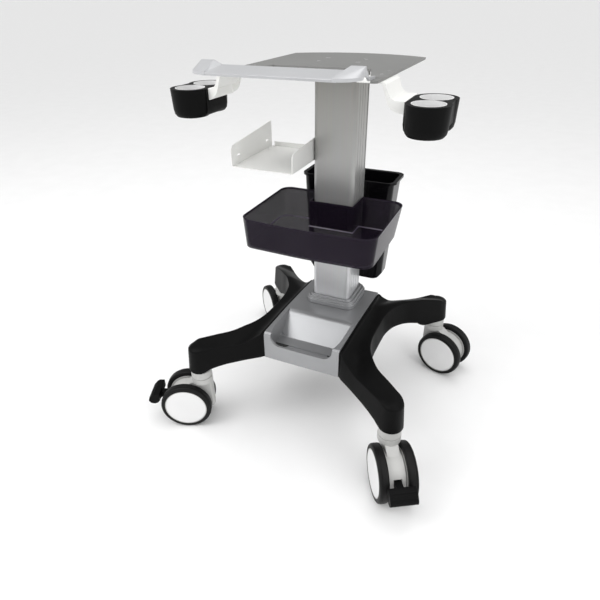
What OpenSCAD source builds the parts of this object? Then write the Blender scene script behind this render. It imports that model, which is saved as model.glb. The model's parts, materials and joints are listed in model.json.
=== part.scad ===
// Ultrasound trolley: a wheeled pedestal cart that carries a portable ultrasound machine on its top plate.
// Millimetres. +Z up, the front (handle side) faces -Y, the floor is Z = 0.
// X and Y below are measured from the middle of the four caster swivels; base_x and base_y move it all to the origin.

/* [Base] */
// Distance between the left and right caster swivels
track = 476; // [440:1:520]
// Distance between the front and rear caster swivels
wheelbase = 460; // [430:1:490]
// Where the middle of the swivels lies along Y, so that the whole cart is centred on its origin
base_y = 16; // [-20:0.5:30]
// Shift of the whole cart along X, which puts the origin at the middle of its outline
base_x = 13; // [-20:0.5:30]
// Width of the silver centre cover
cover_w = 188; // [170:1:200]
// Height of the underside of the centre cover
cover_z = 189; // [180:1:195]
// Height of the top of the centre cover at its front
cover_top = 260; // [252:1:266]
// Radius of each arm's rounded end
arm_tip_r = 27; // [26:1:31]

/* [Column] */
// Width of the column
column_w = 96; // [88:1:100]
// Depth of the column, front to back
column_d = 91; // [86:1:94]
// Middle of the column along Y
column_y = 66.5; // [60:0.5:72]
// Wall of the column extrusion
column_wall = 3; // [2.5:0.5:4]

/* [Table] */
// Height of the top plate's upper face
table_z = 821; // [780:1:860]
// Width of the top plate
plate_w = 298; // [270:1:320]
// Thickness of the top plate
plate_t = 4; // [3:0.5:6]
// Outer width across the handle
handle_w = 296; // [290:1:320]

/* [Probe holders] */
// Radius of each probe cup
cup_r = 28; // [24:0.5:29]
// Distance between the two cups of a holder
cup_pitch = 60; // [59:1:64]
// Distance of the right cups from the middle of the cart
right_reach = 229; // [222:1:240]
// Distance of the left cups from the middle of the cart
left_reach = 218; // [214:1:240]
// Middle of the cups along Y
holder_y = -138; // [-150:1:-125]

/* [Storage] */
// Height of the tray's rim
tray_rim_z = 529; // [500:1:545]
// Depth of the tray
tray_h = 66; // [50:1:75]
// Height of the rear bin's rim
bin_rim_z = 558; // [545:1:580]
// Depth of the rear bin
bin_h = 256; // [200:1:270]
// Height of the floor of the side shelf
shelf_z = 619; // [600:1:640]

/* [Casters] */
// Wheel radius
wheel_r = 62.5; // [60:0.5:63]
// How far the wheels trail behind the swivel
trail = 41; // [36:1:42]
// Resting direction of the front left caster, in degrees from +X
front_left_turn = 203; // [180:1:215]
// Resting direction of the front right caster
front_right_turn = -59; // [-75:1:-45]
// Resting direction of the rear left caster
rear_left_turn = 137; // [120:1:150]
// Resting direction of the rear right caster
rear_right_turn = -17; // [-30:1:0]

/* [Hidden] */
$fn = 64;
eps = 0.01;
half_track = track / 2;
half_base = wheelbase / 2;
cover_x = cover_w / 2;
cover_front = -164;
cover_back = 134;
column_front = column_y - column_d / 2;
column_back = column_y + column_d / 2;
column_side = column_w / 2;
plate_front = -186;
plate_back = 197;
plate_back_r = 291;
recess_y = -56;
head_z = table_z - plate_t - 6;
swivel_z = 157;
column_foot_z = 196;
bolt_x = 42;
bolt_y = [34.5, 87];
bracket_bolt_x = 133;
bracket_bolt_y = [-107, -65];
screw_y = [-60, 10, 80];

// Casters: [x, y, turn]
front_left = [-half_track, -half_base, front_left_turn];
front_right = [half_track, -half_base, front_right_turn];
rear_left = [-half_track, half_base, rear_left_turn];
rear_right = [half_track, half_base, rear_right_turn];

// ---------- shared shapes ----------

// Rectangle centred on the origin with round corners
module rounded(w, d, r) {
  square([w - 2 * r, d], center = true);
  square([w, d - 2 * r], center = true);
  for (x = [-1, 1], y = [-1, 1])
    translate([x * (w / 2 - r), y * (d / 2 - r)])
      circle(r);
}

// Everything in the cart's own frame
module cart() translate([base_x, base_y, 0]) children();

// A box given by its two opposite corners
module block(low, high) translate(low) cube(high - low);

// Left-hand copy of a right-hand piece
module left() mirror([1, 0, 0]) children();

// A screw with a domed head: the head's seat is at z = 0 and the shank goes down
// Flat-headed screw, its head flush with a surface at z = 0
module sunk_screw(shank_r, shank_l, head_r, head_h) {
  translate([0, 0, -shank_l]) cylinder(r = shank_r, h = shank_l - 0.2);
  translate([0, 0, -head_h]) cylinder(r = head_r, h = head_h - 0.1);
}

// Seat for such a head
module sunk_seat(shank_r, head_r, head_h) {
  translate([0, 0, -20]) cylinder(r = shank_r, h = 40);
  translate([0, 0, -head_h]) cylinder(r = head_r, h = 20);
}

module screw(shank_r, shank_l, head_r, head_h) {
  translate([0, 0, -shank_l]) cylinder(r = shank_r, h = shank_l);
  rotate_extrude()
    polygon([[0, 0], [head_r, 0], [head_r, head_h * 0.5], [head_r * 0.7, head_h], [0, head_h]]);
}

// ---------- base ----------

// Plan of the right wing: waist along the cover, one arm to each caster
module wing_plan() {
  polygon([[cover_x, cover_front], [103, cover_front - 6], [half_track - 17, -half_base - 23],
    [half_track + 17, -half_base + 22], [218, -179], [190, -159], [169, -135], [156, -109], [147, -84],
    [143, -52], [143, 14], [144, 43], [149, 70], [157, 93], [177, 124], [199, 146], [222, 172],
    [half_track + 19, half_base - 20], [half_track - 20, half_base + 18], [190, 216], [165, 186], [148, 167],
    [130, 153], [cover_x, cover_back]]);
  for (y = [-half_base, half_base])
    translate([half_track, y])
      circle(arm_tip_r);
}

// Side view of the wing beside the cover: a narrow rail, then a quick fall
module wing_rail() {
  polygon([[cover_x, cover_z], [cover_x, cover_top - 2], [101, 257], [103, 252.5], [115, 244], [130, 235],
    [150, 226], [150, 181], [125, 185]]);
}

// Side view of the two arms, rounded off at the casters
module wing_arms(foot) {
  polygon([[cover_x, cover_z], [cover_x, 245], [half_track - 2, 245], [half_track + 9, 239],
    [half_track + 18, 229], [half_track + 25, 215], [half_track + 31, 196], [half_track + 31, foot],
    [half_track - 24, foot], [205, 167], [180, 175], [150, 181], [125, 185]]);
}

// The arms seen along X: they fall gently towards the front and the rear
module wing_dome() {
  for (y = [-1, 1])
    polygon([[0, 150], [0, 245], [y * 130, 245], [y * (half_base - 3), 225], [y * (half_base + 11), 217],
      [y * (half_base + 22), 205], [y * (half_base + 31), 186], [y * (half_base + 31), 150]]);
}

// The right wing before its cut-outs; the rear arm goes a little lower
module wing_body() intersection() {
  linear_extrude(300) wing_plan();
  union() {
    rotate([90, 0, 0]) linear_extrude(600, center = true) wing_rail();
    intersection() {
      union() {
        rotate([90, 0, 0]) linear_extrude(300) wing_arms(157);
        translate([0, 300, 0]) rotate([90, 0, 0]) linear_extrude(300.5) wing_arms(154);
      }
      rotate([90, 0, 90]) linear_extrude(300) wing_dome();
    }
  }
}

// Plan of the steel arms on the right side of the frame, grown all round by extra
module arm_plan(extra) {
  polygon([[40, -78 + extra], [150, -141 + extra], [half_track + 4, -half_base + 16 + extra],
    [half_track + 4, -half_base - 16 - extra], [half_track - 14, -half_base - 15 - extra],
    [150, -176 - extra], [40, -116 - extra]]);
  polygon([[40, 62 - extra], [150, 118 - extra], [half_track + 4, half_base - 16 - extra],
    [half_track + 4, half_base + 16 + extra], [half_track - 14, half_base + 15 + extra],
    [150, 161 + extra], [40, 100 + extra]]);
  for (y = [-half_base, half_base])
    translate([half_track, y]) circle(19 + extra);
}

// Side view of those arms: level by the cover, lower at the casters
module arm_profile(extra) {
  polygon([[39, 193 - extra], [120, 192 - extra], [150, 188 - extra], [180, 181 - extra],
    [half_track - 33, 173 - extra], [half_track - 22, 163 - extra], [half_track + 20 + extra, 163 - extra],
    [half_track + 20 + extra, 190 + extra], [half_track - 14, 192 + extra], [156, 207 + extra],
    [39, 207 + extra]]);
}

// Steel arms of the frame, right side
module frame_arms(extra) intersection() {
  linear_extrude(300) arm_plan(extra);
  rotate([90, 0, 0]) linear_extrude(700, center = true) arm_profile(extra);
}

module right_wing() color("#1c1c20") difference() {
  wing_body();
  frame_arms(1);
  for (y = [-half_base, half_base])
    translate([half_track, y, 150]) cylinder(r = 9, h = 20);
  // step that takes the edge of the frame's plate
  block([cover_x - 1, -71, cover_z - 2], [133, 96, 196]);
  for (y = screw_y)
    translate([122, y, cover_z - 1]) cylinder(r = 2.6, h = 22);
}

// Outer block of the centre cover, with a rounded front and a top that falls slightly to the rear
module cover_block(inset, low) {
  rotate([90, 0, 90])
    linear_extrude(2 * (cover_x - inset), center = true)
      polygon([[cover_front + inset, low], [cover_back - inset, low], [cover_back - inset, 251 - inset],
        [60, 256 - inset], [-40, cover_top - inset], [cover_front + 7 + inset, cover_top - inset],
        [cover_front + 2 + inset, cover_top - 3 - inset], [cover_front + inset, cover_top - 9 - inset]]);
}

// Scoop in the front of the cover: ramp with a rounded top edge, ledge, and a lower gutter behind the lip
module cover_scoop() {
  intersection() {
    rotate([90, 0, 90])
      linear_extrude(168, center = true)
        polygon([[cover_front + 6, 300], [cover_front + 6, 206], [cover_front + 8, 204], [-126, 204],
          [-123, 205.5], [-122, 208.5], [-119, 210], [-100, 211], [-97, 212.5], [-56, 249], [-52, 253],
          [-48, 256.6], [-43, 259], [-38, 260], [-38, 300]]);
    // sides, which close in a little towards the front
    linear_extrude(310)
      polygon([[-84, -37], [84, -37], [84, -116], [82.5, -136], [79, -152], [77, -158], [77, -170],
        [-77, -170], [-77, -158], [-79, -152], [-82.5, -136], [-84, -116]]);
  }
  // mouth in the front face, with wide rounded corners
  translate([0, cover_front + 10, 0]) rotate([90, 0, 0]) linear_extrude(20) hull() {
    for (x = [-53, 53])
      translate([x, 253]) circle(24);
    translate([-77, 254]) square([154, 50]);
  }
  // corners beside the ramp, turned back and a little deeper
  for (s = [-1, 1])
    polyhedron([[84 * s, -57, 248.4], [60 * s, -97, 212.8], [83.5 * s, -87, 213], [83.5 * s, -99, 216]],
      s > 0 ? [[0, 1, 2], [0, 3, 1], [0, 2, 3], [1, 3, 2]] : [[0, 2, 1], [0, 1, 3], [0, 3, 2], [1, 2, 3]]);
}

module centre_cover() color("#b9bbbd") difference() {
  cover_block(0, cover_z);
  cover_scoop();
  // hollow behind the scoop and under it, open below
  block([-cover_x + 4, -42, cover_z - 1], [cover_x - 4, cover_back - 4, 246]);
  block([-cover_x + 4, -84, cover_z - 1], [cover_x - 4, -41, 211]);
  block([-cover_x + 4, -118, cover_z - 1], [cover_x - 4, -83, 205.5]);
  block([-cover_x + 4, cover_front + 4, cover_z - 1], [cover_x - 4, -117, 199]);
  frame_arms(1);
  left() frame_arms(1);
  translate([0, column_y, 200]) linear_extrude(100) rounded(column_w + 1, column_d + 1, 12);
  block([-cover_x - 1, -71, cover_z - 1], [cover_x + 1, 96, 196]);
}

module base_frame() color("#6f7276") difference() {
  union() {
    block([-84, cover_front + 8, 190], [84, cover_back - 8, 195.5]);
    block([-132, -70, 190], [132, 95, 195.5]);
    block([-column_side - 7, column_front - 7, 190], [column_side + 7, column_back + 7, 236]);
    // posts that carry the cover
    for (x = [-70, 60])
      block([x, -80, 195], [x + 10, -60, 211]);
    for (x = [-80, 70], y = [-34, 116])
      block([x, y, 195], [x + 10, y + 8, 246]);
    frame_arms(0);
    left() frame_arms(0);
  }
  translate([0, column_y, column_foot_z]) linear_extrude(60) rounded(column_w + 0.1, column_d + 0.1, 12);
  for (c = [front_left, front_right, rear_left, rear_right])
    translate([c[0], c[1], 150]) cylinder(r = 6.05, h = 37);
  for (x = [-122, 122], y = screw_y)
    translate([x, y, 180]) cylinder(r = 2.6, h = 30);
}

module ballast() color("#55585c")
  block([-66, -36, 195.5], [66, 8, 240]);

module base_screws() color("#c8c8c8")
  for (x = [-122, 122], y = screw_y)
    translate([x, y, 190]) mirror([0, 0, 1]) screw(2.5, 18, 5, 3);

// ---------- column and table ----------

module column_section() {
  difference() {
    rounded(column_w, column_d, 12);
    rounded(column_w - 2 * column_wall, column_d - 2 * column_wall, 9);
    for (x = [-column_side, column_side]) {
      // narrow slot near the back and three shallow flutes on each side
      translate([x, 29]) square([3, 5], center = true);
      for (y = [-24, -8, 8])
        translate([x, y]) circle(1.6);
    }
  }
  // inner wall behind each slot
  for (x = [-column_side + 4, column_side - 4])
    translate([x, 29]) square([3, 11], center = true);
}

module column() color("#b4b6b8")
  translate([0, column_y, column_foot_z])
    linear_extrude(head_z - column_foot_z)
      column_section();

module column_collar() color("#c6c8ca")
  translate([0, column_y, 0]) difference() {
    union() {
      translate([0, 0, 256]) linear_extrude(14) rounded(column_w + 32, column_d + 28, 22);
      translate([0, 0, 256]) linear_extrude(20) rounded(column_w + 24, column_d + 20, 18);
      translate([0, 0, 256]) linear_extrude(25) rounded(column_w + 12, column_d + 12, 15);
    }
    translate([0, 0, 250]) linear_extrude(40) rounded(column_w + 0.4, column_d + 0.4, 12.2);
    // seat on the sloping top of the cover
    translate([0, -column_y, 0]) cover_block(0, 150);
  }

module head_plate() color("#9a9da0") difference() {
  translate([0, column_y, head_z]) linear_extrude(6) rounded(132, 116, 8);
  for (x = [-bolt_x, bolt_x], y = bolt_y)
    translate([x, y, head_z - 1]) cylinder(r = 3.05, h = 8);
}

module column_bolts() color("#e4e4e4")
  for (x = [-bolt_x, bolt_x], y = bolt_y)
    translate([x, y, table_z]) sunk_screw(3, 9.9, 5.5, 2.2);

module plate_plan() {
  difference() {
    intersection() {
      translate([-plate_w / 2, plate_front]) square([plate_w, plate_back - plate_front]);
      translate([0, plate_back - plate_back_r]) circle(plate_back_r, $fn = 180);
      translate([0, 10]) rounded(plate_w, 2 * (10 - plate_front), 7);
    }
    polygon([[-98, recess_y], [98, recess_y], [138, plate_front - 1], [-138, plate_front - 1]]);
  }
}

module top_plate() color("#a4a6a8") difference() {
  translate([0, 0, table_z - plate_t]) linear_extrude(plate_t) plate_plan();
  for (x = [-bolt_x, bolt_x], y = bolt_y)
    translate([x, y, table_z]) sunk_seat(3.3, 5.7, 2.2);
  for (x = [-bracket_bolt_x, bracket_bolt_x], y = bracket_bolt_y)
    translate([x, y, table_z]) sunk_seat(2.2, 4.2, 1.8);
  // the horns under the handle lie a little lower than the seat
  block([-plate_w, plate_front - 1, table_z - 0.5], [plate_w, -150, table_z + 1]);
}

web_x = 139;

// Right half of the handle: round corner, arm rising to the rear, and the web that stands on the plate
module handle_side() {
  corner_r = 34;
  corner = [handle_w / 2 - corner_r, -265 + corner_r];
  crest_x = handle_w / 2 - 26;
  hull() {
    translate([corner[0], corner[1], 828]) intersection() {
      cylinder(r = corner_r, h = 5, $fn = 64);
      translate([-4, -45, 0]) cube([60, 45, 10]);
    }
    translate([crest_x, -216, 839]) cube([24, 4, 6]);
  }
  hull() {
    translate([crest_x - 12, -212, 833]) cube([4, 4, 5]);
    translate([crest_x - 12, -262, 827]) cube([4, 4, 5]);
    translate([crest_x, -216, 836]) cube([8, 4, 9]);
  }
  translate([web_x, 0, 0]) rotate([90, 0, 90]) linear_extrude(4)
    polygon([[-248, 831], [-212, 845], [-206, 843.5], [-188, 828], [-183, table_z + 5], [-154, table_z + 3],
      [-154, table_z - 0.5], [-185, table_z - 0.5], [-192, 826], [-204, 829]]);
}

module handle() color("#cfd1d3") translate([-7, 0, 0]) {
  rotate([90, 0, 90])
    linear_extrude(handle_w - 64, center = true)
      polygon([[-265, 831], [-262, 827], [-208, 833], [-207, 836], [-209, 838], [-263, 832]]);
  handle_side();
  left() handle_side();
}

module top_screws() color("#e4e4e4")
  for (x = [-bracket_bolt_x, bracket_bolt_x], y = bracket_bolt_y)
    translate([x, y, table_z]) sunk_screw(2, 9, 4, 1.8);

// ---------- storage on the column ----------

module shelf() color("#eef0f0") {
  left_x = -193;
  right_x = -column_side - 3;
  front_y = -86;
  back_y = 101;
  t = 2;
  difference() {
    union() {
      block([left_x + t, front_y, shelf_z], [right_x, back_y, shelf_z + t]);
      // left wall, higher at the back
      translate([left_x, 0, 0]) rotate([90, 0, 90]) linear_extrude(t)
        polygon([[front_y + 5, shelf_z], [front_y + 1.5, shelf_z + 1.5], [front_y, shelf_z + 5],
          [front_y, 655], [front_y + 2, 660], [front_y + 6, 664], [back_y, 680], [back_y, shelf_z]]);
      // right wall, screwed to the column
      translate([right_x, 0, 0]) rotate([90, 0, 90]) linear_extrude(t)
        polygon([[front_y + 2, shelf_z], [front_y + 3, 652], [front_y + 5, 657], [front_y + 10, 660],
          [back_y, 672], [back_y, shelf_z]]);
      block([left_x + 10, back_y - t, shelf_z], [right_x, back_y, shelf_z + 13]);
    }
    for (y = [-62, 70]) {
      translate([left_x - 1, y, shelf_z + 18]) cube([6, 12, 4]);
      translate([left_x + 3.5, y - 4, shelf_z - 1]) cube([3, 16, 6]);
    }
    for (y = [45, 85])
      translate([right_x - 1, y, shelf_z + 26]) rotate([0, 90, 0]) cylinder(r = 2.2, h = 6);
  }
}

// Plan of the tray: straight sides and a gently bowed front
module tray_plan(side, front, back, bow) {
  translate([0, (back + front) / 2]) rounded(2 * side, back - front, 25);
  intersection() {
    translate([0, front - bow + 1200]) circle(1200, $fn = 256);
    translate([-side + 24, front - bow - 1]) square([2 * side - 48, 60]);
  }
}

// Sloping body of the tray, smaller by inset all round; wider at the front than at the back
module tray_body(inset, floor_z, rim_z) hull() {
  translate([0, 0, floor_z]) linear_extrude(eps)
    tray_plan(146 - inset, -142 + inset, 58 - inset, 4);
  translate([0, 0, rim_z]) linear_extrude(eps)
    tray_plan(tray_side - inset, tray_front + inset, tray_back - inset, 7);
}

tray_side = 152;
tray_front = -141;
tray_back = 86;
notch_y = column_front - 5;

module tray() color([0.27, 0.24, 0.3, 0.75]) difference() {
  tray_body(0, tray_rim_z - tray_h, tray_rim_z - eps);
  difference() {
    tray_body(3, tray_rim_z - tray_h + 3, tray_rim_z + 2);
    block([-column_side - 6, notch_y - 3, 400], [column_side + 6, 200, 600]);
  }
  // notch that takes the column
  block([-column_side - 3, notch_y, 400], [column_side + 3, 200, 600]);
}

// Rounded box of the bin between two heights
module bin_shape(low_side, low_back, high_side, high_back, front, r, low, high) hull() {
  translate([0, (front + low_back) / 2, low]) linear_extrude(eps) rounded(2 * low_side, low_back - front, r);
  translate([0, (front + high_back) / 2, high]) linear_extrude(eps)
    rounded(2 * high_side, high_back - front, r);
}

bin_front = column_back + 1;

module rear_bin() color([0.1, 0.09, 0.12]) difference() {
  union() {
    bin_shape(92, 166, 100, 177, bin_front, 18, bin_rim_z - bin_h, bin_rim_z - bin_h + 12);
    bin_shape(100, 177, 113, 202, bin_front, 18, bin_rim_z - bin_h + 12, bin_rim_z - 4);
    bin_shape(119, 209, 119, 209, bin_front, 20, bin_rim_z - 5, bin_rim_z);
  }
  bin_shape(97, 174, 110, 199, bin_front + 3, 15, bin_rim_z - bin_h + 6, bin_rim_z + 1);
  for (z = [490, 540])
    translate([0, column_back - 2, z]) rotate([-90, 0, 0]) cylinder(r = 2.2, h = 20);
}

module hanger_screws() color("#9a9da0") {
  for (y = [45, 85])
    translate([-column_side - 3, y, shelf_z + 26]) rotate([0, -90, 0]) screw(2, 3, 4, 2);
  for (z = [490, 540])
    translate([0, column_back + 4, z]) rotate([-90, 0, 0]) screw(2, 3.9, 4, 2);
}

// ---------- probe holders ----------

// Bracket in side view: from under the plate, down its edge and out to the holder
module bracket_sheet(reach) {
  end = reach - 37.5;
  polygon([[108, table_z - plate_t], [153, table_z - plate_t], [158, 813], [162, 800], [167, 793],
    [174, 790], [end, 790], [end, 770], [end - 2.5, 770], [end - 2.5, 787.5], [173.5, 787.5], [165.5, 790.8],
    [159.8, 799.8], [155.8, 811.5], [152, table_z - plate_t - 2.5], [108, table_z - plate_t - 2.5]]);
}

// The flange along each edge of the bracket
module bracket_flange(reach) {
  end = reach - 37.5;
  polygon([[146, table_z - plate_t], [153, table_z - plate_t], [158, 813], [162, 800], [167, 793],
    [174, 790], [end, 790], [end, 770], [174, 773], [168, 776], [162, 783], [157, 797], [152, 812]]);
}

module bracket(reach) color("#eeefec") difference() {
  union() {
    translate([0, -81, 0]) rotate([90, 0, 0]) linear_extrude(84) bracket_sheet(reach);
    for (y = [-81, -162.5])
      translate([0, y, 0]) rotate([90, 0, 0]) linear_extrude(2.5) bracket_flange(reach);
    block([116, -90, table_z - plate_t - 2.5], [146, -50, table_z - plate_t]);
  }
  for (y = bracket_bolt_y)
    translate([bracket_bolt_x, y, table_z - 20]) cylinder(r = 2.2, h = 30);
}

cup_foot_z = 739;
cup_top_z = 790;

module holder_cups(reach, r, low, high) {
  for (y = [-1, 1])
    translate([reach, holder_y + y * cup_pitch / 2, low]) cylinder(r = r, h = high - low);
}

// Probe holder: two cups in one black body with a flat inner side
module holder(reach, side) color("#131314") difference() {
  union() {
    for (y = [-1, 1])
      translate([reach, holder_y + y * cup_pitch / 2, cup_foot_z])
        rotate_extrude() polygon([[0, 0], [24, 0], [30, 1.5], [33.6, 6], [35.2, 14], [37, 51], [0, 51]]);
    block([reach - 33, holder_y - 30, cup_foot_z + 16], [reach + 33, holder_y + 30, cup_top_z]);
    // flat side towards the column, rounded below
    translate([reach, holder_y + 34, 0]) rotate([90, 0, 0]) linear_extrude(68)
      polygon([[-side * 37.5, cup_top_z], [-side * 37.5, cup_foot_z + 17], [-side * 36, cup_foot_z + 9],
        [-side * 33, cup_foot_z + 4.5], [-side * 28, cup_foot_z + 2], [-side * 2, cup_foot_z + 1.2],
        [-side * 2, cup_top_z]]);
  }
  holder_cups(reach, cup_r, cup_foot_z + 4, cup_top_z + 6);
}

// Pale lining of each cup, flush with the body's top
module cup_liner() {
  rotate_extrude()
    polygon([[cup_r - 1.6, cup_foot_z + 4], [cup_r - 0.1, cup_foot_z + 4], [cup_r - 0.1, cup_top_z + 0.4],
      [cup_r - 1.6, cup_top_z + 0.4]]);
}

module cup_liners() color("#f2f2f0")
  for (x = [-left_reach, right_reach], y = [-1, 1])
    translate([x, holder_y + y * cup_pitch / 2, 0]) cup_liner();

// ---------- casters ----------
// Each is drawn at its swivel axis with the wheels trailing along +X, the axle along Y.

hub_r = 51.5;
tyre_in = 20;
tyre_out = 41;
axle_r = 5;
kingpin_r = 8;
pedal_pivot = [74, 76];
pedal_pin_r = 3;

module caster(c) translate([c[0], c[1], 0]) rotate([0, 0, c[2]]) children();

// Revolve a side view (radius, distance from the caster's middle) about the axle; side is 1 or -1
module on_axle(side)
  translate([trail, 0, wheel_r])
    rotate([side > 0 ? -90 : 90, 0, 0])
      rotate_extrude($fn = 96) children();

module caster_stem(c) color("#c9cac6") caster(c) {
  translate([0, 0, 150]) cylinder(r = 6, h = 36);
  translate([0, 0, 137]) cylinder(r = 25, h = (c[1] < 0 ? swivel_z : swivel_z - 3) - 137);
  translate([0, 0, 113]) cylinder(r = kingpin_r, h = 24);
}

// Side view of the housing between its round cheek and its neck
module housing_web() {
  polygon([[-12, 122], [-12, 52], [0, 42], [20, 34], [30, 60], [62, 98], [40, 112], [24, 122]]);
}

module caster_housing(c, braked) color("#c9cac6") caster(c) {
  difference() {
    union() {
      translate([trail, 0, wheel_r]) rotate([90, 0, 0]) cylinder(r = 47.5, h = 35, center = true, $fn = 96);
      rotate([90, 0, 0]) linear_extrude(28, center = true) housing_web();
      intersection() {
        translate([0, 0, 48]) cylinder(r = 25.5, h = 76);
        block([-30, -14, 40], [30, 14, 125]);
      }
      translate([0, 0, 122]) cylinder(r = 25.5, h = 14.4);
    }
    translate([0, 0, 112]) cylinder(r = kingpin_r + 0.05, h = 30);
    translate([trail, 0, wheel_r]) rotate([90, 0, 0]) cylinder(r = axle_r + 0.05, h = 60, center = true);
    if (braked)
      block([64, -9, 60], [120, 9, 86]);
  }
  if (braked)
    translate([pedal_pivot[0], 0, pedal_pivot[1]]) rotate([90, 0, 0])
      cylinder(r = pedal_pin_r, h = 30, center = true);
}

module caster_axle(c) color("#8c8f92") caster(c)
  translate([trail, 0, wheel_r]) rotate([90, 0, 0]) cylinder(r = axle_r, h = 74, center = true);

module caster_tyre(c, side) color("#1a1a1c") caster(c) on_axle(side)
  polygon([[hub_r, tyre_in], [wheel_r - 3, tyre_in], [wheel_r - 1, tyre_in + 1.5], [wheel_r, tyre_in + 4],
    [wheel_r, tyre_out - 5], [wheel_r - 0.8, tyre_out - 2.5], [wheel_r - 3, tyre_out - 0.6],
    [wheel_r - 5, tyre_out], [hub_r, tyre_out]]);

module caster_hub(c, side) color("#c9cac6") caster(c) on_axle(side)
  polygon([[axle_r + 0.05, tyre_in], [hub_r, tyre_in], [hub_r, tyre_out], [hub_r - 1.6, tyre_out],
    [hub_r - 1.6, tyre_out - 4], [hub_r - 5, tyre_out - 4], [hub_r - 5, tyre_in + 5],
    [14, tyre_in + 5], [12, tyre_out - 5], [axle_r + 0.05, tyre_out - 5]]);

module caster_cap(c, side) color("#e9eae8") caster(c) on_axle(side)
  polygon([[0, tyre_out - 2.6], [hub_r - 1.8, tyre_out - 2.6], [hub_r - 1.8, tyre_out - 0.4],
    [hub_r - 3, tyre_out + 0.5], [30, tyre_out + 1.2], [0, tyre_out + 1.6]]);

// Brake pedal: an arm from the pivot between the cheeks, with a toe, and a wide pad behind the wheels
module caster_pedal(c) color("#1c1c20") caster(c) difference() {
  union() {
    rotate([90, 0, 0]) linear_extrude(16, center = true)
      polygon([[69, 70.5], [78, 70.5], [104, 72], [112, 64], [119, 54], [123, 66], [124, 84], [110, 87],
        [102, 83], [80, 81.5], [69, 81.5]]);
    rotate([90, 0, 0]) linear_extrude(58, center = true)
      polygon([[107, 75], [113, 68], [121, 65], [130, 67], [135, 73], [134, 80], [126, 90], [119, 94],
        [107, 94]]);
  }
  translate([pedal_pivot[0], 0, pedal_pivot[1]]) rotate([90, 0, 0])
    cylinder(r = pedal_pin_r + 0.05, h = 40, center = true);
}

// ---------- the nodes ----------

cart() base_frame();
cart() ballast();
cart() centre_cover();
cart() left() right_wing();  // left_wing
cart() right_wing();
cart() base_screws();
cart() column();
cart() column_collar();
cart() head_plate();
cart() column_bolts();
cart() top_plate();
cart() handle();
cart() top_screws();
cart() shelf();
cart() tray();
cart() rear_bin();
cart() hanger_screws();
cart() left() bracket(left_reach);  // left_bracket
cart() bracket(right_reach);  // right_bracket
cart() holder(-left_reach, -1);  // left_holder
cart() holder(right_reach, 1);  // right_holder
cart() cup_liners();
cart() caster_stem(front_left);  // front_left_stem
cart() caster_housing(front_left, true);  // front_left_housing
cart() caster_axle(front_left);  // front_left_axle
cart() caster_tyre(front_left, 1);  // front_left_tyre_a
cart() caster_hub(front_left, 1);  // front_left_hub_a
cart() caster_cap(front_left, 1);  // front_left_cap_a
cart() caster_tyre(front_left, -1);  // front_left_tyre_b
cart() caster_hub(front_left, -1);  // front_left_hub_b
cart() caster_cap(front_left, -1);  // front_left_cap_b
cart() caster_pedal(front_left);  // front_left_pedal
cart() caster_stem(front_right);  // front_right_stem
cart() caster_housing(front_right, true);  // front_right_housing
cart() caster_axle(front_right);  // front_right_axle
cart() caster_tyre(front_right, 1);  // front_right_tyre_a
cart() caster_hub(front_right, 1);  // front_right_hub_a
cart() caster_cap(front_right, 1);  // front_right_cap_a
cart() caster_tyre(front_right, -1);  // front_right_tyre_b
cart() caster_hub(front_right, -1);  // front_right_hub_b
cart() caster_cap(front_right, -1);  // front_right_cap_b
cart() caster_pedal(front_right);  // front_right_pedal
cart() caster_stem(rear_left);  // rear_left_stem
cart() caster_housing(rear_left, false);  // rear_left_housing
cart() caster_axle(rear_left);  // rear_left_axle
cart() caster_tyre(rear_left, 1);  // rear_left_tyre_a
cart() caster_hub(rear_left, 1);  // rear_left_hub_a
cart() caster_cap(rear_left, 1);  // rear_left_cap_a
cart() caster_tyre(rear_left, -1);  // rear_left_tyre_b
cart() caster_hub(rear_left, -1);  // rear_left_hub_b
cart() caster_cap(rear_left, -1);  // rear_left_cap_b
cart() caster_stem(rear_right);  // rear_right_stem
cart() caster_housing(rear_right, false);  // rear_right_housing
cart() caster_axle(rear_right);  // rear_right_axle
cart() caster_tyre(rear_right, 1);  // rear_right_tyre_a
cart() caster_hub(rear_right, 1);  // rear_right_hub_a
cart() caster_cap(rear_right, 1);  // rear_right_cap_a
cart() caster_tyre(rear_right, -1);  // rear_right_tyre_b
cart() caster_hub(rear_right, -1);  // rear_right_hub_b
cart() caster_cap(rear_right, -1);  // rear_right_cap_b
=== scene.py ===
import bpy
import bmesh
import json
import math
from mathutils import Matrix, Vector
from mathutils.geometry import delaunay_2d_cdt


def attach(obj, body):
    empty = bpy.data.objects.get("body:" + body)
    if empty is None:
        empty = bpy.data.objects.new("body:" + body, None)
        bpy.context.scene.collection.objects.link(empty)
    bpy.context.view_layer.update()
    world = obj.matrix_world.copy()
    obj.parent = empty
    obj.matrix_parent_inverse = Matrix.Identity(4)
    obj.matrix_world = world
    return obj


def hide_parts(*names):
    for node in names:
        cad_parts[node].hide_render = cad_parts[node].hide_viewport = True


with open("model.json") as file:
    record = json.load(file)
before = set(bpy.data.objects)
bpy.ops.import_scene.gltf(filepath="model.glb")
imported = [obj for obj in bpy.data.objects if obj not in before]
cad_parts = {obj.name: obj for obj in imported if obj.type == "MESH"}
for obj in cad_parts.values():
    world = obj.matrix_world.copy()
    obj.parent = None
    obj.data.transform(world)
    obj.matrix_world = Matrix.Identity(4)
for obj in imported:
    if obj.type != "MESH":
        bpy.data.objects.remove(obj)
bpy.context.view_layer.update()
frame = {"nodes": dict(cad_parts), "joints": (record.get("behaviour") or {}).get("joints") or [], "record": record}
nodes = frame["nodes"]
scene = bpy.context.scene
MM = 0.001
slot_of = {s["node"]: s["material_slot"] for s in frame["record"]["subparts"]}
body_of_node = {n: b for b, members in frame["record"]["behaviour"]["bodies"].items() for n in members}
joint_of = {j["child"]: j for j in frame["joints"]}

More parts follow.
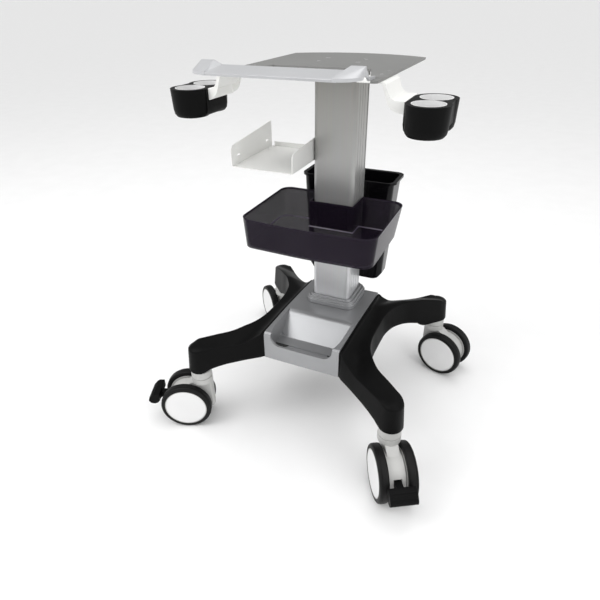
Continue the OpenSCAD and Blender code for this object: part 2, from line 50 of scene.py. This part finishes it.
# middle of the four caster swivels, from which the wings and the camera are placed
swivels = [j["pos_m"] for j in frame["joints"] if j["name"].endswith("_swivel")]
BASE_X = sum(p[0] for p in swivels) / len(swivels)
BASE_Y = sum(p[1] for p in swivels) / len(swivels)

tray_heights = [v.co.z for v in nodes["tray"].data.vertices]
TRAY_LOW, TRAY_HIGH = min(tray_heights), max(tray_heights)

# ---------------------------------------------------------------- materials

BUMP_DEPTH = 0.0002


def new_material(name):
    mat = bpy.data.materials.new(name)
    mat.use_nodes = True
    tree = mat.node_tree
    tree.nodes.clear()
    out = tree.nodes.new("ShaderNodeOutputMaterial")
    bsdf = tree.nodes.new("ShaderNodeBsdfPrincipled")
    tree.links.new(bsdf.outputs[0], out.inputs[0])
    return mat, tree, bsdf


def noise(tree, scale, detail=3.0, stretch=(1, 1, 1)):
    coord = tree.nodes.new("ShaderNodeTexCoord")
    mapping = tree.nodes.new("ShaderNodeMapping")
    mapping.inputs["Scale"].default_value = stretch
    tex = tree.nodes.new("ShaderNodeTexNoise")
    tex.inputs["Scale"].default_value = scale
    tex.inputs["Detail"].default_value = detail
    tree.links.new(coord.outputs["Object"], mapping.inputs["Vector"])
    tree.links.new(mapping.outputs[0], tex.inputs["Vector"])
    return tex


def map_range(tree, source, low, high, first, last, ease="LINEAR"):
    """Maps the values from low to high onto those from first to last."""
    span = tree.nodes.new("ShaderNodeMapRange")
    span.interpolation_type = ease
    for key, value in (("From Min", low), ("From Max", high), ("To Min", first), ("To Max", last)):
        span.inputs[key].default_value = value
    tree.links.new(source, span.inputs["Value"])
    return span.outputs[0]


def height_of(tree):
    coord = tree.nodes.new("ShaderNodeTexCoord")
    axes = tree.nodes.new("ShaderNodeSeparateXYZ")
    tree.links.new(coord.outputs["Object"], axes.inputs[0])
    return axes.outputs["Z"]


def vary_color(tree, bsdf, tex, low, high):
    ramp = tree.nodes.new("ShaderNodeValToRGB")
    ramp.color_ramp.elements[0].position = 0.3
    ramp.color_ramp.elements[1].position = 0.7
    ramp.color_ramp.elements[0].color = (*low, 1)
    ramp.color_ramp.elements[1].color = (*high, 1)
    tree.links.new(tex.outputs["Fac"], ramp.inputs["Fac"])
    tree.links.new(ramp.outputs["Color"], bsdf.inputs["Base Color"])


def vary_rough(tree, bsdf, tex, low, high):
    tree.links.new(map_range(tree, tex.outputs["Fac"], 0.0, 1.0, low, high), bsdf.inputs["Roughness"])


def add_bump(tree, bsdf, tex, strength):
    bump = tree.nodes.new("ShaderNodeBump")
    bump.inputs["Strength"].default_value = strength
    bump.inputs["Distance"].default_value = BUMP_DEPTH
    tree.links.new(tex.outputs["Fac"], bump.inputs["Height"])
    tree.links.new(bump.outputs[0], bsdf.inputs["Normal"])


def finish_material(name, low, high, rough, metallic=0.0, grain=260.0, bump=0.05, spec=0.5):
    """A surface whose colour drifts slowly, and whose roughness and bump follow a fine grain."""
    mat, tree, bsdf = new_material(name)
    vary_color(tree, bsdf, noise(tree, 9.0, 4.0), low, high)
    fine = noise(tree, grain)
    vary_rough(tree, bsdf, fine, rough[0], rough[1])
    if bump:
        add_bump(tree, bsdf, fine, bump)
    bsdf.inputs["Metallic"].default_value = metallic
    bsdf.inputs["Specular IOR Level"].default_value = spec
    return mat


def grey(v, tint=(1.0, 1.0, 1.0)):
    return (v * tint[0], v * tint[1], v * tint[2])


WARM = (1.0, 1.0, 0.975)
COOL = (0.985, 0.995, 1.02)
FINISHES = {
    "silver_plastic": dict(low=grey(0.31, COOL), high=grey(0.34, COOL), rough=(0.30, 0.38),
                           metallic=0.55, grain=1100.0, bump=0.04),
    "black_plastic": dict(low=grey(0.0030, COOL), high=grey(0.0042, COOL), rough=(0.38, 0.48),
                          grain=1500.0, bump=0.10, spec=0.07),
    "grey_plate": dict(low=grey(0.195, WARM), high=grey(0.212, WARM), rough=(0.42, 0.5),
                       metallic=0.2, grain=700.0, bump=0.03),
    "light_paint": dict(low=grey(0.50, COOL), high=grey(0.53, COOL), rough=(0.32, 0.40),
                        metallic=0.25, grain=900.0, bump=0.02),
    "white_paint": dict(low=grey(0.82, WARM), high=grey(0.85, WARM), rough=(0.38, 0.46),
                        grain=900.0, bump=0.03),
    "gloss_black": dict(low=(0.0025, 0.0024, 0.003), high=(0.004, 0.0036, 0.0045), rough=(0.12, 0.2),
                        grain=30.0, bump=0.0, spec=0.16),
    "liner_white": dict(low=grey(0.80), high=grey(0.84), rough=(0.18, 0.25), grain=400.0, bump=0.0),
    "caster_grey": dict(low=grey(0.46, WARM), high=grey(0.50, WARM), rough=(0.40, 0.5), grain=900.0,
                        bump=0.05),
    "caster_white": dict(low=grey(0.76), high=grey(0.79), rough=(0.34, 0.42), grain=900.0, bump=0.03),
    "tyre_rubber": dict(low=grey(0.0045), high=grey(0.007), rough=(0.42, 0.52), grain=800.0,
                        bump=0.08, spec=0.16),
    "steel": dict(low=grey(0.70), high=grey(0.76), rough=(0.22, 0.3), metallic=0.9, grain=500.0,
                  bump=0.03),
    "frame_steel": dict(low=grey(0.05), high=grey(0.07), rough=(0.45, 0.6), metallic=0.3,
                        grain=600.0, bump=0.1),
    "ballast_iron": dict(low=grey(0.07), high=grey(0.10), rough=(0.6, 0.8), metallic=0.6,
                         grain=300.0, bump=0.3),
    # painted highlight: the lighter purple of the fillet along the tray's inner fold
    "painted_fold_highlight": dict(low=(0.10, 0.085, 0.12), high=(0.13, 0.11, 0.15), rough=(0.15, 0.25),
                       grain=500.0, bump=0.0, spec=0.4),
}


def brushed():
    """Satin anodised extrusion: fine lines along its length, with painted light: paler and cooler towards the
    foot, darker and warmer towards the head.
    """
    mat, tree, bsdf = new_material("brushed_aluminium")
    # painted light: the height ramp paints the foot paler and cooler and the head darker and warmer, as the light
    # falls on the column
    foot_z, head_z = 0.28, 0.80
    ramp = tree.nodes.new("ShaderNodeValToRGB")
    ramp.color_ramp.elements[0].color = (0.66, 0.665, 0.68, 1)
    ramp.color_ramp.elements[1].color = (0.31, 0.305, 0.285, 1)
    tree.links.new(map_range(tree, height_of(tree), foot_z, head_z, 0.0, 1.0), ramp.inputs["Fac"])
    lines = noise(tree, 420.0, 2.0, (1, 1, 0.012))
    mix = tree.nodes.new("ShaderNodeMix")
    mix.data_type = "RGBA"
    mix.blend_type = "MULTIPLY"
    mix.inputs["Factor"].default_value = 0.10
    tree.links.new(ramp.outputs["Color"], mix.inputs["A"])
    tree.links.new(lines.outputs["Color"], mix.inputs["B"])
    tree.links.new(mix.outputs["Result"], bsdf.inputs["Base Color"])
    vary_rough(tree, bsdf, lines, 0.30, 0.42)
    add_bump(tree, bsdf, lines, 0.05)
    bsdf.inputs["Metallic"].default_value = 0.6
    return mat


def smoky(rim_z):
    """Purplish see-through plastic, dense along the rim where one looks into the edge of the sheet."""
    mat, tree, bsdf = new_material("smoky_plastic")
    vary_color(tree, bsdf, noise(tree, 7.0), (0.011, 0.0075, 0.0145), (0.0145, 0.010, 0.0185))
    vary_rough(tree, bsdf, noise(tree, 500.0), 0.08, 0.14)
    dense = map_range(tree, height_of(tree), rim_z - 0.0045, rim_z - 0.003, 0.785, 0.99)
    tree.links.new(dense, bsdf.inputs["Alpha"])
    bsdf.inputs["Specular IOR Level"].default_value = 0.12
    return mat


MAT = {name: finish_material(name, **look) for name, look in FINISHES.items()}
MAT["brushed_aluminium"] = brushed()
MAT["smoky_plastic"] = smoky(TRAY_HIGH)


def shade(obj, slot):
    obj.data.materials.clear()
    obj.data.materials.append(MAT[slot])


for name, obj in nodes.items():
    shade(obj, slot_of[name])

# ---------------------------------------------------------------- edges and shading


def smooth_group(limit):
    """Smooth shading, with the edges sharper than limit kept sharp."""
    tree = bpy.data.node_groups.new("smooth_by_angle", "GeometryNodeTree")
    tree.interface.new_socket(name="Geometry", in_out="INPUT", socket_type="NodeSocketGeometry")
    tree.interface.new_socket(name="Geometry", in_out="OUTPUT", socket_type="NodeSocketGeometry")
    start = tree.nodes.new("NodeGroupInput")
    end = tree.nodes.new("NodeGroupOutput")
    faces = tree.nodes.new("GeometryNodeSetShadeSmooth")
    faces.domain = "FACE"
    edges = tree.nodes.new("GeometryNodeSetShadeSmooth")
    edges.domain = "EDGE"
    edges.inputs["Shade Smooth"].default_value = False
    angle = tree.nodes.new("GeometryNodeInputMeshEdgeAngle")
    over = tree.nodes.new("FunctionNodeCompare")
    over.data_type = "FLOAT"
    over.operation = "GREATER_THAN"
    over.inputs[1].default_value = math.radians(limit)
    tree.links.new(start.outputs[0], faces.inputs["Geometry"])
    tree.links.new(faces.outputs[0], edges.inputs["Geometry"])
    tree.links.new(angle.outputs["Unsigned Angle"], over.inputs[0])
    tree.links.new(over.outputs[0], edges.inputs["Selection"])
    tree.links.new(edges.outputs[0], end.inputs[0])
    return tree


SMOOTH = smooth_group(38)


def refine(obj, width, segments=3, limit=30, flat=0.6):
    """Joins the triangles of a node into faces, rounds its edges a little, and shades it smooth."""
    weld = obj.modifiers.new("weld", "WELD")
    weld.merge_threshold = 0.00002
    plane = obj.modifiers.new("planes", "DECIMATE")
    plane.decimate_type = "DISSOLVE"
    plane.angle_limit = math.radians(flat)
    if width:
        bevel = obj.modifiers.new("edges", "BEVEL")
        bevel.width = width
        bevel.segments = segments
        bevel.limit_method = "ANGLE"
        bevel.angle_limit = math.radians(limit)
        bevel.use_clamp_overlap = True
        bevel.miter_outer = "MITER_ARC"
    shade_mod = obj.modifiers.new("smooth", "NODES")
    shade_mod.node_group = SMOOTH
    even = obj.modifiers.new("even", "WEIGHTED_NORMAL")
    even.keep_sharp = True


EDGE = {
    "top_plate": 0.0007, "handle": 0.0016, "shelf": 0.0006, "tray": 0.0008, "rear_bin": 0.0010,
    "left_bracket": 0.0008, "right_bracket": 0.0008, "left_holder": 0.0016, "right_holder": 0.0016,
    "centre_cover": 0.0022, "column": 0.0005, "column_collar": 0.0022, "head_plate": 0.001,
    "left_wing": 0.004, "right_wing": 0.004, "base_frame": 0.0015, "ballast": 0.002,
    "top_screws": 0.0005, "column_bolts": 0.0006, "base_screws": 0.0005, "hanger_screws": 0.0005,
}
CASTER_EDGE = {"_housing": 0.003, "_pedal": 0.002, "_stem": 0.0015, "_cap_": 0.0006, "_tyre_": 0.0006}
for name, obj in nodes.items():
    caster_width = next((width for part, width in CASTER_EDGE.items() if part in name), 0.0)
    refine(obj, EDGE.get(name, caster_width))

# ---------------------------------------------------------------- mesh helpers


def link_mesh(name, verts, faces):
    mesh = bpy.data.meshes.new(name)
    mesh.from_pydata(verts, [], faces)
    bm = bmesh.new()
    bm.from_mesh(mesh)
    bmesh.ops.recalc_face_normals(bm, faces=bm.faces)
    for f in bm.faces:
        f.smooth = True
    bm.to_mesh(mesh)
    bm.free()
    obj = bpy.data.objects.new(name, mesh)
    scene.collection.objects.link(obj)
    mod = obj.modifiers.new("smooth", "NODES")
    mod.node_group = SMOOTH
    return obj


def skin(start, size, rings, closed=False):
    """Quads between rings of size points, the first at index start; closed joins the last to the first."""
    faces = []
    for k in range(rings if closed else rings - 1):
        a = start + k * size
        b = start + ((k + 1) % rings) * size
        for i in range(size):
            j = (i + 1) % size
            faces.append((a + i, a + j, b + j, b + i))
    return faces


def stand_in(obj, body, slot, *replaced):
    shade(obj, slot)
    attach(obj, body)
    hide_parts(*replaced)


def smooth_step(t):
    """Rises smoothly from 0 to 1 while t goes from 0 to 1."""
    t = min(1.0, max(0.0, t))
    return t * t * (3 - 2 * t)


def between(table, x):
    """Height at x on the straight lines through the pairs of a short profile."""
    if x <= table[0][0]:
        return table[0][1]
    for (x0, z0), (x1, z1) in zip(table, table[1:]):
        if x <= x1:
            return z0 + (z1 - z0) * (x - x0) / (x1 - x0)
    return table[-1][1]


# ---------------------------------------------------------------- wings of the base
# Measured in millimetres from the middle of the swivels, for the right wing; the left one is mirrored.

HALF_TRACK, HALF_BASE, TIP_R = 238.0, 230.0, 28.0
COVER_X, COVER_F, COVER_B = 94.5, -164.0, 134.0
ARM_ROOT, ARM_FOOT = (102, -171.5), (221.5, -253.5)
OUTER_SIDE = [(256, -208.5), (245, -200), (218, -178.5), (190, -158), (171, -135.5), (157, -110),
              (148, -84), (143.5, -52), (143, -18), (143, 14), (144, 43), (149, 70), (157, 93),
              (177, 124), (199, 147), (222, 172), (245, 196), (257.8, 209)]
REAR_SIDE = [(216.7, 248.1), (190, 217), (165, 187), (148, 168), (131, 154), (115, 144),
             (COVER_X, COVER_B)]
# rail along the cover, across its width; and how far it falls towards the rear
RAIL = [(94.5, 258.5), (100.5, 257.5), (102.5, 253.0), (106, 250.5), (112, 246), (120, 240),
        (130, 235), (150, 228)]
RAIL_X = (99, 100.5, 101.5, 102.5, 104, 107, 111)
COVER_FALL = [(-40, 0.0), (60, -4.0), (134, -9.0), (300, -14.0)]
UNDER = [(94.5, 189.5), (125, 187), (145, 184.5), (170, 180.5), (190, 175), (205, 169), (213, 163),
         (219, 158), (280, 158)]
DOME_Z, BLEND, BALL_R = 244, 6, 24
FOOT_RISE, FILLET, DRAFT = 3, 2.2, 4.2
TOP_STEP, UNDER_STEP = 6.0, 14.0


def curve_through(points, steps):
    """Catmull-Rom curve through points in plan, ends included."""
    result = []
    padded = [points[0]] + points + [points[-1]]
    for i in range(1, len(padded) - 2):
        p0, p1, p2, p3 = [Vector(p) for p in padded[i - 1:i + 3]]
        for k in range(steps):
            t = k / steps
            result.append(0.5 * ((2 * p1) + (p2 - p0) * t + (2 * p0 - 5 * p1 + 4 * p2 - p3) * t * t
                                 + (3 * p1 - p0 - 3 * p2 + p3) * t ** 3))
    result.append(Vector(points[-1]))
    return result


def arc(cx, cy, r, a0, a1, steps):
    angles = [math.radians(a0 + (a1 - a0) * k / steps) for k in range(steps + 1)]
    return [Vector((cx + r * math.cos(a), cy + r * math.sin(a))) for a in angles]


def straight(a, b, steps):
    a, b = Vector(a), Vector(b)
    return [a.lerp(b, k / steps) for k in range(steps)]


def wing_outline():
    plan = straight((COVER_X, COVER_F), ARM_ROOT, 3)
    plan += straight(ARM_ROOT, ARM_FOOT, 14)
    plan += arc(HALF_TRACK, -HALF_BASE, TIP_R, -125.5, 50, 18)
    plan += curve_through(OUTER_SIDE, 4)[1:-1]
    plan += arc(HALF_TRACK, HALF_BASE, TIP_R, -45, 139.6, 18)
    plan += curve_through(REAR_SIDE, 4)[1:]
    plan += straight((COVER_X, COVER_B), (COVER_X, COVER_F), 40)[1:]
    return plan


def wing_top(x, y):
    far = abs(y)
    rear = smooth_step((y - 30) / 90)
    dx, dy = x - HALF_TRACK, far - HALF_BASE
    along = (dx + dy) / math.sqrt(2)
    groove = 4.5 * math.exp(-((x - 138) / 20) ** 2) * min(1.0, far / 140) ** 4
    dome = DOME_Z - 0.2 * max(0.0, far - 133) - groove * (1 - rear) - 0.00014 * max(0.0, 118 - far) ** 2
    # the rear arms fall away towards the back, and towards their tips
    across = max(0.0, (y - x) / math.sqrt(2) + 26)
    dome -= rear * 0.5 * across * across / (across + 14)
    dome -= rear * 8.5 * smooth_step((along + 70) / 90)
    # the rail and the dome run into each other where they are about as high
    rail = between(RAIL, x) + between(COVER_FALL, y)
    if abs(rail - dome) > BLEND:
        z = max(rail, dome)
    else:
        z = (rail + dome) / 2 + ((rail - dome) ** 2 + BLEND ** 2) / (4 * BLEND)
    # each tip is rounded like a ball over its swivel
    reach = min(BALL_R - 1.0, max(0.0, math.hypot(dx, dy) - 6))
    return z - smooth_step((along + 10) / 20) * (BALL_R - math.sqrt(BALL_R ** 2 - reach * reach))


def wing_under(x, y):
    return between(UNDER, x) - (3.0 if y > 0 and x > 205 else 0.0)


def inward(loop, amount):
    """The loop moved to its inner side by amount; the side along the cover hardly moves."""
    moved = []
    count = len(loop)
    for i, p in enumerate(loop):
        a, b = loop[i - 1], loop[(i + 1) % count]
        d1, d2 = (p - a).normalized(), (b - p).normalized()
        n1, n2 = Vector((-d1.y, d1.x)), Vector((-d2.y, d2.x))
        n = (n1 + n2)
        n = n.normalized() if n.length > 1e-6 else n1
        q = p + n * amount / max(0.5, n.dot(n1))
        if abs(p.x - COVER_X) < 0.01:
            q.x = COVER_X + 0.15 * amount
        moved.append(q)
    return moved


def inside(p, loop):
    hit = False
    for i in range(len(loop)):
        a, b = loop[i - 1], loop[i]
        if (a.y > p.y) != (b.y > p.y) and p.x < (b.x - a.x) * (p.y - a.y) / (b.y - a.y) + a.x:
            hit = not hit
    return hit


def fill(loop, step, extra_x=()):
    """Points inside a loop and on it, the triangles between them, and which loop points each one is."""
    core = inward(loop, step * 0.6)
    pts = list(loop)
    x0, x1 = min(p.x for p in loop), max(p.x for p in loop)
    y0, y1 = min(p.y for p in loop), max(p.y for p in loop)
    columns = [x0 + step * k for k in range(1, int((x1 - x0) / step) + 1)]
    if extra_x:
        columns = [x for x in columns if x > max(extra_x) + 2]
    for x in sorted(set(columns) | set(extra_x)):
        y = y0 + step
        while y < y1:
            p = Vector((x, y))
            if inside(p, core):
                pts.append(p)
            y += step
    edges = [(i, (i + 1) % len(loop)) for i in range(len(loop))]
    made = delaunay_2d_cdt(pts, edges, [], 1, 1e-5)
    return made[0], made[2], made[3]


def wing_rings():
    """Loops in plan with their heights, from the foot up the side and over the rounded upper edge."""
    plan = wing_outline()
    foot = [wing_under(p.x, p.y) for p in plan]
    rings = [(inward(plan, 3.0), foot), (inward(plan, 0.9), [z + 0.8 for z in foot]),
             (plan, [z + FOOT_RISE for z in foot])]
    for k in range(1, 7):
        loop = inward(plan, DRAFT * k / 6)
        rings.append((loop, [f + FOOT_RISE + (wing_top(q.x, q.y) - FILLET - f - FOOT_RISE) * k / 6
                             for q, f in zip(loop, foot)]))
    for k in range(1, 6):
        t = math.radians(18 * k)
        loop = inward(plan, DRAFT + FILLET * (1 - math.cos(t)))
        rings.append((loop, [wing_top(q.x, q.y) - FILLET * (1 - math.sin(t)) for q in loop]))
    return rings


def build_wing(name, side):
    rings = wing_rings()
    verts = [(p.x, p.y, z) for loop, heights in rings for p, z in zip(loop, heights)]
    count = len(rings[0][0])
    faces = skin(0, count, len(rings))
    for ring, step, surface, extra_x in ((len(rings) - 1, TOP_STEP, wing_top, RAIL_X),
                                         (0, UNDER_STEP, wing_under, ())):
        pts, triangles, origin = fill(rings[ring][0], step, extra_x)
        index = []
        for k, p in enumerate(pts):
            source = [o for o in origin[k] if o < count]
            if source:
                index.append(ring * count + source[0])
            else:
                index.append(len(verts))
                verts.append((p.x, p.y, surface(p.x, p.y)))
        faces += [tuple(index[v] for v in f) for f in triangles]
    if side < 0:
        faces = [tuple(reversed(f)) for f in faces]
    placed = [Vector((side * x * MM + BASE_X, y * MM + BASE_Y, z * MM)) for x, y, z in verts]
    return link_mesh(name, placed, faces)


for side, which in ((-1, "left"), (1, "right")):
    stand_in(build_wing(which + "_wing_shell", side), "cart", "black_plastic", which + "_wing")

# ---------------------------------------------------------------- casters


def turned(name, profile, centre, axis, steps=96):
    """Closed ring turned about an axis; the profile holds radius and distance along it in millimetres."""
    axis = axis.normalized()
    first = Vector((0, 0, 1))
    second = axis.cross(first)
    verts = []
    for k in range(steps):
        a = 2 * math.pi * k / steps
        out = first * math.cos(a) + second * math.sin(a)
        verts += [centre + out * (r * MM) + axis * (h * MM) for r, h in profile]
    return link_mesh(name, verts, skin(0, len(profile), steps, closed=True))


# tyre section: rounded tread, a groove near the outer shoulder and a step beside the cap
TYRE = [(51.5, 20.2), (58.6, 20.2), (60.6, 20.7), (61.9, 22.0), (62.4, 24.0), (62.5, 26.0), (62.5, 33.6),
        (62.3, 34.6), (61.5, 34.9), (61.4, 35.8), (62.1, 36.2), (61.9, 37.6), (61.0, 39.3), (59.4, 40.6),
        (57.4, 41.0), (55.2, 41.0), (54.8, 40.5), (54.0, 40.5), (53.6, 40.9), (51.5, 40.9)]
for name in sorted(nodes):
    if "_tyre_" not in name:
        continue
    body = body_of_node[name]
    joint = joint_of[body]
    centre = Vector(joint["pos_m"])
    axis = Vector(joint["axis"])
    corners = nodes[name].data.vertices
    middle = sum((v.co for v in corners), Vector()) / len(corners)
    if (middle - centre).dot(axis) < 0:
        axis = -axis
    ring = turned(name + "_tread", TYRE, centre, axis)
    stand_in(ring, body, "tyre_rubber", name)

# grip ribs across each brake pad, in millimetres: where each one lies on the pad's rounded back
# (ahead of the swivel, height), the direction in which it stands out, and its section
RIB_PLACES = [((133.9, 76.5), (0.99, 0.14)), ((132.6, 81.5), (0.78, 0.62)), ((129.0, 86.0), (0.78, 0.62)),
              ((124.6, 90.6), (0.60, 0.80)), ((120.6, 92.9), (0.5, 0.87))]
RIB_SECTION = [(-1.2, -0.6), (-0.9, 0.7), (0, 1.1), (0.9, 0.7), (1.2, -0.6)]
RIB_HALF = 26
for which in ("front_left", "front_right"):
    swivel = Vector(joint_of[which + "_fork"]["pos_m"])
    across = Vector(joint_of[which + "_brake"]["axis"]).normalized()
    ahead = Vector((across.y, -across.x, 0))
    if (Vector(joint_of[which + "_brake"]["pos_m"]) - swivel).dot(ahead) < 0:
        ahead = -ahead
    verts, faces = [], []
    for (px, pz), (nx, nz) in RIB_PLACES:
        start, count = len(verts), len(RIB_SECTION)
        for end in (-RIB_HALF, RIB_HALF):
            for a, b in RIB_SECTION:
                x, z = px - nz * a + nx * b, pz + nx * a + nz * b
                verts.append(Vector((swivel.x, swivel.y, 0)) + ahead * (x * MM) + across * (end * MM)
                             + Vector((0, 0, z * MM)))
        faces += skin(start, count, 2)
        faces.append(tuple(range(start, start + count)))
        faces.append(tuple(reversed(range(start + count, start + 2 * count))))
    ribs = link_mesh(which + "_pedal_ribs", verts, faces)
    shade(ribs, "black_plastic")
    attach(ribs, which + "_brake")

# ---------------------------------------------------------------- tray


def floor_loops(tray):
    """Loops of points round the tray's inner floor, each with the floor on its left."""
    bm = bmesh.new()
    bm.from_mesh(tray.data)
    bmesh.ops.remove_doubles(bm, verts=bm.verts, dist=0.00002)
    height = {f: f.calc_center_median().z for f in bm.faces if f.normal.z > 0.99}
    level = min(z for z in height.values() if TRAY_LOW + 0.0008 < z < (TRAY_LOW + TRAY_HIGH) / 2)
    region = {f: z for f, z in height.items() if abs(z - level) < 0.0003}
    step_to = {}
    for f in region:
        for loop in f.loops:
            if not any(g in region for g in loop.edge.link_faces if g is not f):
                step_to[loop.vert.index] = loop.link_loop_next.vert.index
    place_of = {v.index: v.co.copy() for v in bm.verts}
    bm.free()
    loops = []
    while step_to:
        start = next(iter(step_to))
        ring, at = [start], step_to.pop(start)
        while at != start and at in step_to:
            ring.append(at)
            at = step_to.pop(at)
        if len(ring) > 3:
            loops.append([place_of[i] for i in ring])
    return loops


# fillet along the fold between the tray's floor and its walls: a thin triangle, sunk a little into both, coloured
# lighter than the tray as a painted highlight along the fold
FOLD_R, FOLD_SUNK, FOLD_LIFT = 0.0024, 0.0004, 0.0001
verts, faces = [], []
for pts in floor_loops(nodes["tray"]):
    start, count = len(verts), len(pts)
    for i, q in enumerate(pts):
        d1, d2 = (q - pts[i - 1]).normalized(), (pts[(i + 1) % count] - q).normalized()
        n = Vector((-d1.y - d2.y, d1.x + d2.x, 0)).normalized()
        verts.append(q + n * FOLD_R + Vector((0, 0, FOLD_LIFT)))
        verts.append(q - n * FOLD_SUNK + Vector((0, 0, FOLD_R)))
        verts.append(q - Vector((0, 0, FOLD_SUNK)))
    faces += skin(start, 3, count, closed=True)
fold = link_mesh("tray_fold_highlight", verts, faces)
shade(fold, "painted_fold_highlight")
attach(fold, "cart")

# painted shade: a dark sheet on the column's front, seen through the tray's notch, stands in for the shade there
column_verts = nodes["column"].data.vertices
half = max(v.co.x - BASE_X for v in column_verts) - 0.011
back = min(v.co.y for v in column_verts) - 0.0002
front = back - 0.001
verts = []
for z in (TRAY_LOW + 0.004, TRAY_HIGH - 0.002):
    for x, y in ((-half, back), (half, back), (half, front), (-half, front)):
        verts.append(Vector((BASE_X + x, y, z)))
sheet = link_mesh("tray_notch_shade_sheet", verts, [(3, 2, 1, 0), (4, 5, 6, 7)] + skin(0, 4, 2))
shade(sheet, "gloss_black")
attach(sheet, "cart")

# ---------------------------------------------------------------- camera

# the photo's view: where the camera turns and how far it leans, and its place from the swivels' middle
AZ, EL, ROLL = math.radians(24.9), math.radians(31.6), math.radians(-0.8)
CAMERA_X, CAMERA_Y, CAMERA_Z = 0.3909, -1.0033, 0.9427
forward = Vector((-math.sin(AZ) * math.cos(EL), math.cos(AZ) * math.cos(EL), -math.sin(EL)))
right = Vector((math.cos(AZ), math.sin(AZ), 0.0))
up = right.cross(forward)
cam_x = right * math.cos(ROLL) + up * math.sin(ROLL)
cam_y = -right * math.sin(ROLL) + up * math.cos(ROLL)
cam_data = bpy.data.cameras.new("camera")
cam_data.sensor_width = 36.0
cam_data.lens = 30.2
cam_data.clip_start = 0.05
cam_data.dof.use_dof = False
camera = bpy.data.objects.new("camera", cam_data)
scene.collection.objects.link(camera)
place = Matrix((cam_x, cam_y, -forward)).transposed().to_4x4()
place.translation = Vector((CAMERA_X + BASE_X, CAMERA_Y + BASE_Y, CAMERA_Z))
camera.matrix_world = place
scene.camera = camera

# ---------------------------------------------------------------- floor and light

FLOOR_HALF = 400
floor_mesh = bpy.data.meshes.new("floor")
floor_mesh.from_pydata([(-FLOOR_HALF, -FLOOR_HALF, 0), (FLOOR_HALF, -FLOOR_HALF, 0),
                        (FLOOR_HALF, FLOOR_HALF, 0), (-FLOOR_HALF, FLOOR_HALF, 0)], [], [(0, 1, 2, 3)])
floor = bpy.data.objects.new("floor", floor_mesh)
scene.collection.objects.link(floor)
floor_mesh.materials.append(finish_material("studio_floor", grey(0.86), grey(0.88), (0.7, 0.8),
                                            grain=60.0, bump=0.0, spec=0.2))

# the studio is bright in front and overhead, and dim behind the cart
SKY_FRONT, SKY_REAR, SKY_TOP = 0.85, 0.25, 0.6
REARWARD = (-0.42, 0.907, 0.0)
world = bpy.data.worlds.new("studio")
scene.world = world
world.use_nodes = True
sky = world.node_tree
background = sky.nodes["Background"]
background.inputs[0].default_value = (1.0, 1.0, 1.0, 1)


def sky_math(operation, a, b):
    node = sky.nodes.new("ShaderNodeMath")
    node.operation = operation
    sky.links.new(a, node.inputs[0])
    sky.links.new(b, node.inputs[1])
    return node.outputs[0]


direction = sky.nodes.new("ShaderNodeTexCoord").outputs["Generated"]
rearward = sky.nodes.new("ShaderNodeVectorMath")
rearward.operation = "DOT_PRODUCT"
rearward.inputs[1].default_value = REARWARD
sky.links.new(direction, rearward.inputs[0])
sky_axes = sky.nodes.new("ShaderNodeSeparateXYZ")
sky.links.new(direction, sky_axes.inputs[0])
height = sky_axes.outputs["Z"]
behind = map_range(sky, rearward.outputs["Value"], 0.1, 0.7, 0.0, 1.0, "SMOOTHSTEP")
raised = map_range(sky, height, 0.03, 0.24, 0.0, 1.0, "SMOOTHSTEP")
dim = map_range(sky, sky_math("MULTIPLY", behind, raised), 0.0, 1.0, SKY_FRONT, SKY_REAR, "SMOOTHSTEP")
lift = map_range(sky, height, 0.62, 0.92, 0.0, SKY_TOP, "SMOOTHSTEP")
sky.links.new(sky_math("ADD", dim, lift), background.inputs[1])


def area(name, place_at, target, size, power):
    data = bpy.data.lights.new(name, "AREA")
    data.shape = "RECTANGLE"
    data.size = size
    data.size_y = size
    data.energy = power
    lamp = bpy.data.objects.new(name, data)
    lamp.location = place_at
    lamp.rotation_euler = (Vector(target) - Vector(place_at)).to_track_quat("-Z", "Y").to_euler()
    scene.collection.objects.link(lamp)


area("key", (-1.6, -1.6, 2.4), (0, 0, 0.4), 1.6, 30)
area("fill", (2.2, -1.0, 1.8), (0, 0, 0.4), 1.6, 14)
area("top", (0.0, 0.6, 2.6), (0, 0, 0.5), 1.8, 12)

scene.view_settings.view_transform = "Standard"
